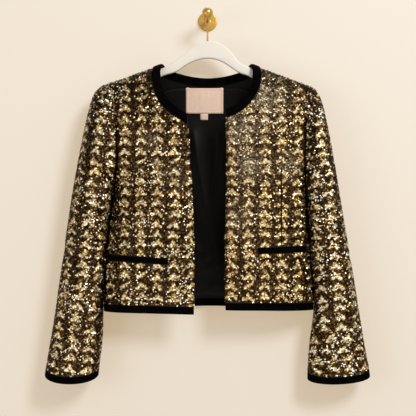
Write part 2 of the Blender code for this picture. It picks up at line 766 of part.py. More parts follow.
def build_wall_peg():
    """The stem and its ball, one solid."""
    start = Vector((0, -PLATE_THICK - GAP, 0))
    end = Vector((0, BALL_Y, BALL_Z))
    run = end - start
    stem = bmesh.new()
    bmesh.ops.create_cone(
        stem, cap_ends=True, segments=STEM_SIDES, radius1=STEM_RADIUS, radius2=STEM_RADIUS, depth=run.length
    )
    turn = run.to_track_quat("Z", "Y").to_matrix().to_4x4()
    bmesh.ops.transform(stem, matrix=turn, verts=stem.verts)
    bmesh.ops.translate(stem, vec=(start + end) / 2, verts=stem.verts)
    flush = [vertex for vertex in stem.verts if vertex.co.y > start.y - STEM_RADIUS]
    for vertex in flush:
        vertex.co.y = start.y
    stem_data = bpy.data.meshes.new("wall_peg")
    stem.to_mesh(stem_data)
    stem.free()
    stem_data.shade_smooth()
    ball = bmesh.new()
    bmesh.ops.create_uvsphere(ball, u_segments=BALL_SIDES, v_segments=BALL_RINGS, radius=BALL_RADIUS)
    bmesh.ops.translate(ball, vec=end, verts=ball.verts)
    ball_data = bpy.data.meshes.new("peg_ball")
    ball.to_mesh(ball_data)
    ball.free()
    ball_data.shade_smooth()
    ball_object = bpy.data.objects.new("peg_ball", ball_data)
    bpy.data.collections["joining"].objects.link(ball_object)
    ball_object.hide_render = True
    ball_object.display_type = "WIRE"
    peg = new_part("wall_peg", stem_data, BRUSHED_BRASS)
    joined = peg.modifiers.new("Ball", "BOOLEAN")
    joined.operation = "UNION"
    joined.solver = "EXACT"
    joined.object = ball_object


def main():
    clear_scene()
    for name in ("sequin_jacket", "joining"):
        bpy.context.scene.collection.children.link(bpy.data.collections.new(name))
    panels = build_panels()
    back = panels["back"]
    sleeve_left = build_sleeve("sleeve_left", panels["front_left"].grids[0], back.grids[0], LEFT_RINGS, -1)
    sleeve_right = build_sleeve("sleeve_right", panels["front_right"].grids[0], back.grids[1], RIGHT_RINGS, 1)
    build_neck_trim(panels)
    build_hem_trims(panels)
    build_cuff_trim("cuff_trim_left", sleeve_left)
    build_cuff_trim("cuff_trim_right", sleeve_right)
    build_pocket_trim("pocket_trim_left", POCKET_LINES["pocket_trim_left"], panels["front_left"])
    build_pocket_trim("pocket_trim_right", POCKET_LINES["pocket_trim_right"], panels["front_right"])
    lining = build_lining(back)
    build_label(lining, "label", LABEL_MIDDLE_X, LABEL_WIDTH, LABEL_TOP, LABEL_HEIGHT, LABEL_STATIONS)
    tab_top = LABEL_TOP - LABEL_HEIGHT - GAP
    build_label(lining, "size_tab", TAB_MIDDLE_X, TAB_WIDTH, tab_top, TAB_HEIGHT, TAB_STATIONS)
    build_hanger()
    build_hanger_hook()
    build_wall_plate()
    build_wall_peg()


main()
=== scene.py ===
"""Looks of a cropped sequin jacket on a contour hanger and a round wall hook.

Metres, +Z up. The wall is the plane y = 0 and the front of the jacket faces -Y. Left and right are as seen
from the front.
"""

import math
from collections import namedtuple

import bmesh
import bpy
import numpy as np
from mathutils import Matrix, Vector, noise
from mathutils.bvhtree import BVHTree
from mathutils.kdtree import KDTree


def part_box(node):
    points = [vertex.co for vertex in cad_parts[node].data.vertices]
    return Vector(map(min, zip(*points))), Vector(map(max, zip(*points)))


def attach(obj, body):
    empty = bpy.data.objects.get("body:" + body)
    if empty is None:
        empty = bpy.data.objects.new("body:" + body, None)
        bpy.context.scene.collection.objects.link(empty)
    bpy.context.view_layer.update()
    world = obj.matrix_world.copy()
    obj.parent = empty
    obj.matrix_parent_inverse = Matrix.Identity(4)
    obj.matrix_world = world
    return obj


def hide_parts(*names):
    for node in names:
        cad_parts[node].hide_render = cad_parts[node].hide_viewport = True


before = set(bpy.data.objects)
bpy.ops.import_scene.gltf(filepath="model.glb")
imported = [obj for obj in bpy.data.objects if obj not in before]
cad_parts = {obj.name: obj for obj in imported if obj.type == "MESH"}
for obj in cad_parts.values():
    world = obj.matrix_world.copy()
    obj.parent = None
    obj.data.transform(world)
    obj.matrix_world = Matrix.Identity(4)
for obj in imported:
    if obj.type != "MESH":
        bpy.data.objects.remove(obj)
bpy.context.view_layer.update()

MM = 0.001
CHANCE = np.random.default_rng(7)

# The camera looks level at the wall. View scale is how far one pixel reaches, for each metre from the camera.
IMAGE_SIDE = 416
VIEW_SCALE = 1.0363e-3
SENSOR = 36
CAMERA_PLACE = (0.001, -2.0, -0.3856)

# Height of the stage's floor, and how far the floor and the wall reach from their middles.
FLOOR_Z = -1.1
STAGE_REACH = 3

# Welding and smoothing of the solids' meshes. Edges sharper than the rim angle stay crisp.
WELD = 0.01 * MM
JOIN_ANGLE = math.radians(40)
RIM_ANGLE = math.radians(50)
CLOTH_LEVELS = 2
LABEL_LEVELS = 1
VELVET_LEVELS = 1

# Rounding of the velvet trims: little at their cut edges, which lie beside a side thinner than this, and
# more at their folds.
THIN_SIDE = 2.2 * MM
TRIM_EDGE = 0.5 * MM
TRIM_EDGE_STEPS = 2
TRIM_ROLL = 1.5 * MM
TRIM_ROLL_STEPS = 3

# The neck trim curls up and inwards round these places at the neck points, in millimetres.
Curl = namedtuple("Curl", "x z reach rise inwards")
CURLS = (
    Curl(-107, -100, 8, 3.6, 0),
    Curl(-112, -105, 6, 0, 3.0),
    Curl(-94, -98, 7, 2.4, 5.0),
    Curl(103.5, -100, 8, 3.6, 0),
    Curl(109, -105, 6, 0, -3.0),
    Curl(90.5, -98, 7, 2.4, -5.0),
)
# The trim is divided finer above this height, and smoothed there in so many rounds.
CURL_FOOT = -114 * MM
CURL_ROUNDS = 12

# Plane through the side seams, and the sleeves' middle lines from the shoulder down to the cuff.
SEAM_Y = -47 * MM
SleeveTop = namedtuple("SleeveTop", "x z")
SLEEVE_TOPS = {"sleeve_left": SleeveTop(-205, -150), "sleeve_right": SleeveTop(207, -150)}

# Small creases beside the solids' larger folds. They fade out this near to a cloth's rims. Places, widths
# and heights are in millimetres. A height is outwards, and a trough's is negative.
RIM_KEEP = 20 * MM
Crease = namedtuple("Crease", "from_x from_z to_x to_z width height")
CREASES = {
    "front_left": (
        Crease(-100, -330, -96, -470, 9, -1.2),
        Crease(-62, -500, -58, -596, 8, -1.4),
        Crease(-150, -505, -158, -596, 10, 1.6),
        Crease(-176, -250, -140, -210, 10, -1.6),
        Crease(-50, -240, -46, -330, 8, 1.0),
    ),
    "front_right": (
        Crease(128, -250, 134, -430, 7, -1.6),
        Crease(74, -480, 80, -588, 9, 1.4),
        Crease(186, -330, 158, -300, 9, -1.4),
        Crease(180, -262, 150, -222, 10, -1.5),
        Crease(118, -500, 116, -588, 8, -1.2),
    ),
    "back": (
        Crease(-30, -300, -34, -420, 10, 1.2),
        Crease(40, -340, 46, -480, 9, -1.4),
        Crease(-150, -240, -120, -290, 11, -1.6),
        Crease(152, -236, 118, -300, 10, -1.5),
        Crease(-96, -450, -104, -588, 9, 1.5),
        Crease(110, -430, 118, -588, 9, 1.3),
    ),
    "sleeve_left": (
        Crease(-205, -395, -240, -428, 8, -1.8),
        Crease(-218, -500, -252, -540, 9, -2.0),
        Crease(-290, -470, -262, -500, 9, -1.5),
        Crease(-250, -590, -256, -680, 8, 1.3),
        Crease(-226, -250, -232, -330, 9, -1.2),
    ),
    "sleeve_right": (
        Crease(210, -385, 240, -420, 8, -1.8),
        Crease(220, -450, 246, -490, 9, -1.6),
        Crease(285, -480, 262, -510, 9, -1.5),
        Crease(248, -560, 252, -680, 8, 1.4),
        Crease(228, -230, 236, -330, 9, -1.2),
    ),
    "lining_back": (
        Crease(-28, -235, -3, -385, 5, 1.5),
        Crease(23, -235, 6, -370, 5, 1.3),
        Crease(-24, -470, 0, -484, 5, 1.6),
        Crease(0, -484, 26, -468, 5, 1.6),
        Crease(-24, -500, 2, -512, 4, 1.4),
        Crease(2, -512, 26, -498, 4, 1.4),
        Crease(-22, -540, 4, -552, 4, 1.4),
        Crease(4, -552, 26, -542, 4, 1.4),
    ),
}

# Repeats of the broken tooth pattern, a sequin for each letter: dark, bronze, gold, pale gold or white. Each
# repeat on the cloth takes one of them.
TEETH = (
    (
        "ddddddbddddddd",
        "ddddddgbdddddd",
        "dddddbggdddddd",
        "dddddgpgbddddd",
        "ddddbggpgddddd",
        "dddbgpggpgdddd",
        "ddbgpggggpgbdd",
        "ddwpggbbggpwdd",
        "dddbbddddbbddd",
    ),
    (
        "dddddddddddddd",
        "ddddddbgdddddd",
        "dddddbggbddddd",
        "ddddbgppgbdddd",
        "dddbggggpggddd",
        "ddbgpwggwpgbdd",
        "ddgpwbddbwpgdd",
        "ddbgbddddbgbdd",
        "dddddddddddddd",
    ),
    (
        "ddddddddddbgdd",
        "dddddddddbgpdd",
        "dddddddbgpgbdd",
        "dddddbggpggddd",
        "dddbgpwggbdddd",
        "ddbgpwpgbddddd",
        "dddgggbddddddd",
        "ddddbddddddddd",
        "dddddddddddddd",
    ),
    (
        "ddddbbdddddddd",
        "ddddbgbbdddddd",
        "dddddgpgbddddd",
        "ddddbgdgpddddd",
        "dddbggggggbddd",
        "dddgwpbggpgddd",
        "ddbpgddbgwpbdd",
        "dddbddddbgbddd",
        "dddddddddddddd",
    ),
)
REPEAT_COLUMNS = 14
REPEAT_ROWS = 9
TONES = {"d": 0.07, "b": 0.36, "g": 0.62, "p": 0.82, "w": 1.0}
# Where the repeat starts on each panel in sequins, the panel's brightest tone, its share of stray sequins
# everywhere, and the share added where it is most worn. The brightest tone scales all of a panel's tones,
# painted light and shade for how brightly that panel is lit.
Sewing = namedtuple("Sewing", "column row brightest stray worn")
SEWING = {
    "front_left": Sewing(6, 3, 0.96, 0.10, 0.60),
    "front_right": Sewing(1, 3, 0.88, 0.14, 0.50),
    "back": Sewing(6, 3, 0.96, 0.12, 0.50),
    "sleeve_left": Sewing(7, 1, 1.02, 0.10, 0.45),
    "sleeve_right": Sewing(2, 1, 1.10, 0.12, 0.35),
}
# Patches where the pattern is washed out towards one tone, in millimetres, and how far at their middles.
Patch = namedtuple("Patch", "x z reach share")
WASHED = {
    "front_right": (
        Patch(66, -225, 42, 0.5),
        Patch(112, -160, 48, 0.55),
        Patch(84, -300, 34, 0.5),
        Patch(160, -300, 26, 0.35),
        Patch(60, -400, 34, 0.3),
    ),
    "front_left": (
        Patch(-64, -150, 24, 0.25),
        Patch(-112, -250, 20, 0.3),
        Patch(-64, -320, 22, 0.3),
    ),
}
WASHED_TONE = 0.5
# How silvery a sequin is, as a multiple of how far the pattern is washed out there, up to 1.
WASHED_SILVER = 1.8
# Spacing, size and shape of the sequins, their height over the cloth, and how much each one leans.
SEQUIN_ACROSS = 2.4 * MM
SEQUIN_DOWN = 2.3 * MM
SEQUIN_RADIUS = 1.75 * MM
SEQUIN_CUP = 0.3 * MM
SEQUIN_LIFT = 0.75 * MM
SEQUIN_LEAN = math.radians(10)
SEQUIN_JITTER = math.radians(10)
SEQUIN_SIDES = 5
# Neighbouring sequins tip together over this size, and by this much.
RIPPLE_SIZE = 5.5 * MM
RIPPLE_TIP = math.radians(26)
# Size of the worn patches, tones of the stray sequins and how often each comes, and how far any tone strays.
WORN_SIZE = 60 * MM
STRAY_TONES = (0.0, 0.2, 0.4, 0.6, 0.8, 1.0)
STRAY_SHARES = (0.20, 0.20, 0.18, 0.12, 0.13, 0.17)
TONE_SPREAD = 0.11
# The repeat wanders by up to this many sequins over this size.
WANDER_SIZE = 60 * MM
WANDER_STEPS = 1.7
# Each kind of wave over the cloth is taken from its own place in the noise.
WORN_WAVES = 0
DOWN_WAVES = 10
ACROSS_WAVES = 20
LEAN_WAVES = 30
ROLL_WAVES = 40
# How often each repeat is taken.
TEETH_SHARES = (0.4, 0.28, 0.1, 0.22)
# Sequins are painted black this near to the next piece of cloth, painted shade for the shadowed gap between
# the pieces;
# fewer of them up from the fade's foot.
SEAM_SHADE = 4.5 * MM
SHADE_FADE_FOOT = -235 * MM
SHADE_FADE = 50 * MM
# Sequins stop this far from the trims.
TRIM_CLEAR = 1.9 * MM
# A narrow dart on each front, in millimetres, where the sequins are black.
Dart = namedtuple("Dart", "x top bottom half_width")
DARTS = {"front_right": Dart(147, -305, -462, 1.6), "front_left": Dart(-146, -320, -470, 0.9)}


# Materials

def new_material(name):
    """A new node material, with its node tree and its shader."""
    material = bpy.data.materials.new(name)
    material.use_nodes = True
    tree = material.node_tree
    shader = tree.nodes["Principled BSDF"]
    return material, tree, shader


def node(tree, kind, **inputs):
    """A node with its inputs set by name, an underscore standing for a space."""
    made = tree.nodes.new(kind)
    for key, value in inputs.items():
        made.inputs[key.replace("_", " ")].default_value = value
    return made


def object_noise(tree, scale, detail=3.0, stretch=(1, 1, 1)):
    """Noise on object coordinates, stretched where the finish runs one way."""
    place = tree.nodes.new("ShaderNodeTexCoord")
    mapping = node(tree, "ShaderNodeMapping", Scale=stretch)
    pattern = node(tree, "ShaderNodeTexNoise", Scale=scale, Detail=detail)
    tree.links.new(place.outputs["Object"], mapping.inputs["Vector"])
    tree.links.new(mapping.outputs["Vector"], pattern.inputs["Vector"])
    return pattern.outputs["Fac"]


def ramp(tree, factor, *stops):
    """A colour ramp: each stop is a position and a colour."""
    made = tree.nodes.new("ShaderNodeValToRGB")
    elements = made.color_ramp.elements
    while len(elements) < len(stops):
        elements.new(0.5)
    for element, (position, colour) in zip(elements, stops):
        element.position = position
        element.color = (*colour, 1)
    tree.links.new(factor, made.inputs["Fac"])
    return made.outputs["Color"]


def spread(tree, factor, low, high):
    """A factor from 0 to 1 mapped to a low and a high value."""
    made = node(tree, "ShaderNodeMapRange", To_Min=low, To_Max=high)
    tree.links.new(factor, made.inputs["Value"])
    return made.outputs["Result"]


def relief(tree, shader, height, strength, distance):
    """Bumps the shader's surface by a height."""
    made = node(tree, "ShaderNodeBump", Strength=strength, Distance=distance)
    tree.links.new(height, made.inputs["Height"])
    tree.links.new(made.outputs["Normal"], shader.inputs["Normal"])


def sequin_value(tree, name):
    """A value that each sequin carries."""
    made = tree.nodes.new("ShaderNodeAttribute")
    made.attribute_name = name
    return made.outputs["Fac"]


def sequin_finish():
    """Metallic discs, gold by each sequin's own tone and silvery where they are washed out."""
    material, tree, shader = new_material("sequins")
    tone = sequin_value(tree, "tone")
    gold = ramp(
        tree,
        tone,
        (0.00, (0.012, 0.006, 0.002)),
        (0.22, (0.080, 0.045, 0.018)),
        (0.42, (0.260, 0.160, 0.063)),
        (0.62, (0.630, 0.450, 0.190)),
        (0.82, (0.880, 0.770, 0.480)),
        (1.00, (0.900, 0.910, 0.890)),
    )
    silver = ramp(
        tree,
        tone,
        (0.00, (0.010, 0.007, 0.004)),
        (0.40, (0.200, 0.155, 0.100)),
        (0.65, (0.570, 0.500, 0.360)),
        (1.00, (0.900, 0.910, 0.890)),
    )
    blend = tree.nodes.new("ShaderNodeMixRGB")
    tree.links.new(sequin_value(tree, "silver"), blend.inputs["Fac"])
    tree.links.new(gold, blend.inputs["Color1"])
    tree.links.new(silver, blend.inputs["Color2"])
    tree.links.new(blend.outputs["Color"], shader.inputs["Base Color"])
    scuffs = object_noise(tree, scale=900, detail=2)
    tree.links.new(spread(tree, scuffs, low=0.20, high=0.42), shader.inputs["Roughness"])
    shader.inputs["Metallic"].default_value = 0.97
    return material


def ground_finish():
    """Dark open cloth under the sequins."""
    material, tree, shader = new_material("sequin_ground")
    weave = object_noise(tree, scale=1400, detail=2)
    colour = ramp(tree, weave, (0.3, (0.003, 0.002, 0.0015)), (0.7, (0.016, 0.010, 0.006)))
    tree.links.new(colour, shader.inputs["Base Color"])
    shader.inputs["Roughness"].default_value = 0.8
    relief(tree, shader, weave, strength=0.5, distance=0.3 * MM)
    return material


def velvet_finish():
    """Short black pile, brushed a little unevenly."""
    material, tree, shader = new_material("velvet")
    pile = object_noise(tree, scale=1100, detail=4)
    brushed = object_noise(tree, scale=55, detail=2)
    colour = ramp(tree, brushed, (0.3, (0.0010, 0.0008, 0.0010)), (0.75, (0.0024, 0.0020, 0.0024)))
    tree.links.new(colour, shader.inputs["Base Color"])
    shader.inputs["Roughness"].default_value = 0.95
    shader.inputs["Specular IOR Level"].default_value = 0.02
    shader.inputs["Sheen Weight"].default_value = 0.16
    shader.inputs["Sheen Roughness"].default_value = 0.3
    shader.inputs["Sheen Tint"].default_value = (0.20, 0.18, 0.19, 1)
    relief(tree, shader, pile, strength=0.9, distance=0.5 * MM)
    return material


def satin_finish():
    """Smooth black lining whose threads run down."""
    material, tree, shader = new_material("satin")
    threads = object_noise(tree, scale=700, stretch=(1, 1, 0.08))
    colour = ramp(tree, threads, (0.3, (0.0011, 0.0010, 0.0011)), (0.7, (0.0023, 0.0021, 0.0023)))
    tree.links.new(colour, shader.inputs["Base Color"])
    shader.inputs["Roughness"].default_value = 0.4
    shader.inputs["Specular IOR Level"].default_value = 0.12
    shader.inputs["Sheen Weight"].default_value = 0.02
    relief(tree, shader, threads, strength=0.25, distance=0.1 * MM)
    return material


def label_finish():
    """Pale pink woven ribbon with faint upright pleats."""
    material, tree, shader = new_material("label")
    threads = object_noise(tree, scale=1500, detail=2, stretch=(1, 1, 0.15))
    colour = ramp(tree, threads, (0.3, (0.78, 0.57, 0.45)), (0.7, (0.88, 0.67, 0.55)))
    tree.links.new(colour, shader.inputs["Base Color"])
    shader.inputs["Roughness"].default_value = 0.6
    shader.inputs["Sheen Weight"].default_value = 0.2
    pleats = object_noise(tree, scale=75, detail=1, stretch=(1, 1, 0.12))
    relief(tree, shader, pleats, strength=0.7, distance=2 * MM)
    return material


def thread_finish():
    """Sewing thread, a little darker than the label."""
    material, tree, shader = new_material("label_thread")
    twist = object_noise(tree, scale=2500, detail=2)
    colour = ramp(tree, twist, (0.3, (0.46, 0.28, 0.23)), (0.7, (0.58, 0.38, 0.32)))
    tree.links.new(colour, shader.inputs["Base Color"])
    shader.inputs["Roughness"].default_value = 0.7
    return material


def hanger_finish():
    """Off-white moulded plastic with a fine grain."""
    material, tree, shader = new_material("hanger")
    mottle = object_noise(tree, scale=14)
    colour = ramp(tree, mottle, (0.3, (0.755, 0.720, 0.665)), (0.7, (0.810, 0.785, 0.730)))
    tree.links.new(colour, shader.inputs["Base Color"])
    grain = object_noise(tree, scale=600, detail=2)
    tree.links.new(spread(tree, grain, low=0.32, high=0.46), shader.inputs["Roughness"])
    relief(tree, shader, grain, strength=0.08, distance=0.1 * MM)
    return material


def brass_finish(name, stretch):
    """Brass brushed along the stretched axis."""
    material, tree, shader = new_material(name)
    brushing = object_noise(tree, scale=500, stretch=stretch)
    colour = ramp(tree, brushing, (0.3, (0.49, 0.30, 0.075)), (0.7, (0.66, 0.435, 0.13)))
    tree.links.new(colour, shader.inputs["Base Color"])
    tree.links.new(spread(tree, brushing, low=0.34, high=0.50), shader.inputs["Roughness"])
    shader.inputs["Metallic"].default_value = 1.0
    relief(tree, shader, brushing, strength=0.15, distance=0.1 * MM)
    return material


def wall_finish():
    """Bluish matt paint on the wall's front with an even warm glow, painted light that lightens and warms the
    shadows cast on it, and nothing to be seen from behind it.
    """
    material, tree, shader = new_material("wall_paint_and_glow")
    shader.inputs["Base Color"].default_value = (0.41, 0.456, 0.51, 1)
    shader.inputs["Roughness"].default_value = 0.9
    # Painted light: the paint glows warm, lifting and warming the shadows that fall on it.
    shader.inputs["Emission Color"].default_value = (0.453, 0.33, 0.19, 1)
    shader.inputs["Emission Strength"].default_value = 1.0
    side = tree.nodes.new("ShaderNodeNewGeometry")
    clear = tree.nodes.new("ShaderNodeBsdfTransparent")
    choice = tree.nodes.new("ShaderNodeMixShader")
    tree.links.new(side.outputs["Backfacing"], choice.inputs["Fac"])
    tree.links.new(shader.outputs["BSDF"], choice.inputs[1])
    tree.links.new(clear.outputs["BSDF"], choice.inputs[2])
    tree.links.new(choice.outputs["Shader"], tree.nodes["Material Output"].inputs["Surface"])
    return material


# Cloth shells from the solids' meshes

def merged(name):
    """A solid's form as a mesh of its own, with its loose triangles welded and joined into quads."""
    form = bmesh.new()
    form.from_mesh(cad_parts[name].data)
    bmesh.ops.remove_doubles(form, verts=form.verts, dist=WELD)
    bmesh.ops.join_triangles(
        form, faces=form.faces, angle_face_threshold=JOIN_ANGLE, angle_shape_threshold=JOIN_ANGLE
    )
    form.normal_update()
    return form


def sharp_edges(form):
    """Edges between faces that meet at more than the rim angle."""
    return [edge for edge in form.edges if edge.calc_face_angle(0) > RIM_ANGLE]


def show(thing):
    """Links an object to the scene."""
    bpy.context.scene.collection.objects.link(thing)


def put_mesh(name, data, materials):
    """A finished piece with this mesh, which rides on the one body."""
    for material in materials:
        data.materials.append(material)
    piece = bpy.data.objects.new(name, data)
    show(piece)
    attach(piece, "root")
    return piece


def put(name, form, materials, slot, *replaced):
    """A finished piece with a form as its smoothly shaded mesh, which stands for its solids."""
    data = bpy.data.meshes.new(name)
    form.to_mesh(data)
    form.free()
    data.shade_smooth()
    piece = put_mesh(name, data, materials)
    if replaced:
        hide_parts(*replaced)
    return piece


def smoothed(form, levels):
    """The same form with its faces subdivided into a soft surface whose rims stay crisp."""
    rim = form.edges.layers.float.new("crease_edge")
    for edge in sharp_edges(form):
        edge[rim] = 1.0
    data = bpy.data.meshes.new("smoothing")
    form.to_mesh(data)
    form.free()
    holder = bpy.data.objects.new("smoothing", data)
    show(holder)
    soften = holder.modifiers.new("Soften", "SUBSURF")
    soften.levels = levels
    soften.render_levels = levels
    depsgraph = bpy.context.evaluated_depsgraph_get()
    finer = bmesh.new()
    finer.from_mesh(holder.evaluated_get(depsgraph).to_mesh())
    holder.evaluated_get(depsgraph).to_mesh_clear()
    bpy.data.objects.remove(holder)
    bpy.data.meshes.remove(data)
    finer.normal_update()
    return finer


def regions(form):
    """Faces in groups that no sharp edge crosses, the largest group first."""
    left = dict.fromkeys(form.faces)
    groups = []
    while left:
        start = next(iter(left))
        del left[start]
        group = [start]
        for face in group:
            for edge in face.edges:
                if edge.calc_face_angle(0) > RIM_ANGLE:
                    continue
                for other in edge.link_faces:
                    if other in left:
                        del left[other]
                        group.append(other)
        groups.append(group)
    return sorted(groups, key=lambda group: -sum(face.calc_area() for face in group))


def outwards_of(name):
    """Direction from a cloth piece's middle line to its outer side, at a place."""
    if name in SLEEVE_TOPS:
        top, along = sleeve_line(name)

        def from_line(place):
            away = place - top
            return away - along * away.dot(along)

        return from_line
    sign = 1 if name == "back" else -1
    return lambda place: Vector((0, sign, 0))


def sleeve_line(name):
    """The top of a sleeve's middle line, and its direction."""
    low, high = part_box(name.replace("sleeve", "cuff_trim"))
    cuff = (low + high) / 2
    cuff.y = SEAM_Y
    top = Vector((SLEEVE_TOPS[name].x * MM, SEAM_Y, SLEEVE_TOPS[name].z * MM))
    return top, (cuff - top).normalized()


def outer_and_inner(form, outwards):
    """The two broad sides of a cloth, the outer one first."""
    one, other = regions(form)[:2]

    def facing(side):
        return sum(face.normal.dot(outwards(face.calc_center_median())) for face in side)

    return (one, other) if facing(one) > facing(other) else (other, one)


def crease_height(creases, place):
    """Summed height of the creases at a place: full along each line, soft to its sides and ends."""
    height = 0.0
    here = Vector((place.x / MM, place.z / MM))
    for crease in creases:
        start = Vector((crease.from_x, crease.from_z))
        run = Vector((crease.to_x, crease.to_z)) - start
        share = min(1.0, max(0.0, (here - start).dot(run) / run.length_squared))
        away = (here - start - run * share).length / crease.width
        height += crease.height * math.exp(-away * away)
    return height * MM


def rim_tree(form):
    """The rim's vertices in a tree, to find how far a place is from them."""
    rim = dict.fromkeys(vertex for edge in sharp_edges(form) for vertex in edge.verts)
    tree = KDTree(len(rim))
    for index, vertex in enumerate(rim):
        tree.insert(vertex.co, index)
    tree.balance()
    return tree


def press_creases(form, name, outer):
    """Presses the small creases into both sides of a cloth, fading out towards its rims."""
    outside = {vertex for face in outer for vertex in face.verts}
    rim = rim_tree(form)
    moves = []
    for vertex in form.verts:
        normal = vertex.normal if vertex in outside else -vertex.normal
        _, _, to_rim = rim.find(vertex.co)
        fade = min(1.0, to_rim / RIM_KEEP)
        moves.append(normal * crease_height(CREASES[name], vertex.co) * fade)
    for vertex, move in zip(form.verts, moves):
        vertex.co += move
    form.normal_update()


# Sequins

def level_joins(faces, direction, pitch):
    """For each evenly spaced level along a direction, which edges of a side it joins across faces."""
    height = {vertex: vertex.co.dot(direction) / pitch for face in faces for vertex in face.verts}
    joins = {}
    for face in faces:
        heights = [height[vertex] for vertex in face.verts]
        for level in range(math.ceil(min(heights)), math.floor(max(heights)) + 1):
            crossed = [
                edge
                for edge in face.edges
                if (height[edge.verts[0]] < level) != (height[edge.verts[1]] < level)
            ]
            if len(crossed) == 2:
                one, other = crossed
                line = joins.setdefault(level, {})
                line.setdefault(one, []).append(other)
                line.setdefault(other, []).append(one)
    return height, joins


def runs_of(joins):
    """Chains joined edges into runs, from one end to the other or once round."""
    left = dict.fromkeys(joins)
    runs = []
    ends = [edge for edge in joins if len(joins[edge]) == 1]
    for start in ends + list(joins):
        if start not in left:
            continue
        del left[start]
        run = [start]
        ahead = [edge for edge in joins[start] if edge in left]
        while ahead:
            del left[ahead[0]]
            run.append(ahead[0])
            ahead = [edge for edge in joins[run[-1]] if edge in left]
        if len(run) > 2 and run[0] in joins[run[-1]]:
            run.append(run[0])
        runs.append(run)
    return runs


def level_spots(run, height, level):
    """Places and normals where a level crosses a run of edges."""
    places = []
    normals = []
    for edge in run:
        low, high = edge.verts
        share = (level - height[low]) / (height[high] - height[low])
        places.append(low.co.lerp(high.co, share))
        normals.append(low.normal.lerp(high.normal, share))
    return np.array(places), np.array(normals)


def sewn_spots(faces, name):
    """Rows of sequin spots over one side of a cloth: places, normals, and each one's row and column."""
    if name in SLEEVE_TOPS:
        top, along = sleeve_line(name)
        direction = -along
    else:
        top = Vector((0, SEAM_Y, 0))
        direction = Vector((0, 0, 1))
    across = np.array((direction.z, 0, -direction.x))
    height, joins = level_joins(faces, direction, SEQUIN_DOWN)
    found = []
    for level, line in sorted(joins.items()):
        for run in runs_of(line):
            places, normals = level_spots(run, height, level)
            side = (places - np.array(top)) @ across
            if len(run) < 2 or side[0] > side[-1]:
                places, normals, side = places[::-1], normals[::-1], side[::-1]
            front = np.abs(side) + (places[:, 1] > SEAM_Y) * (name in SLEEVE_TOPS)
            anchor = int(np.argmin(front))
            steps = np.linalg.norm(np.diff(places, axis=0), axis=1)
            along_line = np.concatenate(((0.0,), np.cumsum(steps)))
            along_line += side[anchor] - along_line[anchor]
            stagger = 0.5 * (level % 2)
            first = math.ceil(along_line[0] / SEQUIN_ACROSS - stagger)
            last = math.floor(along_line[-1] / SEQUIN_ACROSS - stagger)
            columns = np.arange(first, last + 1)
            wanted = (columns + stagger) * SEQUIN_ACROSS
            if len(wanted):
                place = np.stack([np.interp(wanted, along_line, places[:, i]) for i in range(3)], 1)
                normal = np.stack([np.interp(wanted, along_line, normals[:, i]) for i in range(3)], 1)
                found.append((place, normal, np.full(len(wanted), level), columns))
    places, normals, rows, columns = (np.concatenate(parts) for parts in zip(*found))
    normals /= np.linalg.norm(normals, axis=1, keepdims=True)
    return places, normals, rows, columns, direction


def waves(places, size, kind):
    """Smooth noise over the cloth, from -1 to 1, whose waves have this size."""
    shift = Vector((kind, 0, 0))
    return np.array([noise.noise(Vector(place) / size + shift) for place in places])


def washed(name, places):
    """How far the pattern is washed out at each place, from 0 to 1."""
    share = np.zeros(len(places))
    for patch in WASHED.get(name, ()):
        away = np.hypot(places[:, 0] / MM - patch.x, places[:, 2] / MM - patch.z) / patch.reach
        share = np.maximum(share, patch.share * np.exp(-away * away))
    return share


def tones_of(name, places, rows, columns, wash):
    """Each sequin's tone: the tooth pattern, washed out in patches, with more strays where it is worn, and
    scaled lighter or darker per panel as painted light and shade.
    """
    charts = np.array([[[TONES[letter] for letter in line] for line in chart] for chart in TEETH])
    sewing = SEWING[name]
    wander_down = np.round(WANDER_STEPS * waves(places, WANDER_SIZE, DOWN_WAVES)).astype(int)
    wander_across = np.round(WANDER_STEPS * waves(places, WANDER_SIZE, ACROSS_WAVES)).astype(int)
    down = sewing.row - rows + wander_down
    across = sewing.column + columns + wander_across
    repeats = np.stack((across // REPEAT_COLUMNS, down // REPEAT_ROWS), 1)
    picks = {
        tuple(repeat): CHANCE.choice(len(TEETH), p=TEETH_SHARES) for repeat in np.unique(repeats, axis=0)
    }
    pick = np.array([picks[tuple(repeat)] for repeat in repeats])
    tone = charts[pick, down % REPEAT_ROWS, across % REPEAT_COLUMNS]
    worn = waves(places, WORN_SIZE, WORN_WAVES)
    stray = CHANCE.random(len(rows)) < sewing.stray + sewing.worn * np.clip(worn, 0, 1)
    tone = np.where(stray, CHANCE.choice(STRAY_TONES, len(rows), p=STRAY_SHARES), tone)
    tone += wash * (WASHED_TONE - tone)
    # Painted light and shade: each panel's tones are scaled lighter or darker for how brightly it is lit.
    return sewing.brightest * np.clip(tone + CHANCE.normal(0, TONE_SPREAD, len(rows)), 0, 1)


def solids_tree(names):
    """The solids of some nodes in one tree, to find what lies near or before them."""
    points = []
    triangles = []
    for name in names:
        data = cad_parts[name].data
        triangles += [[len(points) + i for i in face.vertices] for face in data.polygons]
        points += [vertex.co.copy() for vertex in data.vertices]
    return BVHTree.FromPolygons(points, triangles)


def clear_of(places, tree, distance):
    """Which places are further than a distance from what a tree holds."""
    return np.array([tree.find_nearest(Vector(place), distance)[0] is None for place in places])


def clear_of_dart(places, name):
    """Which places lie beside, above or below a panel's dart."""
    if name not in DARTS:
        return np.ones(len(places), dtype=bool)
    dart = DARTS[name]
    away = np.abs(places[:, 0] / MM - dart.x) > dart.half_width
    height = places[:, 2] / MM
    return away | (height > dart.top) | (height < dart.bottom)


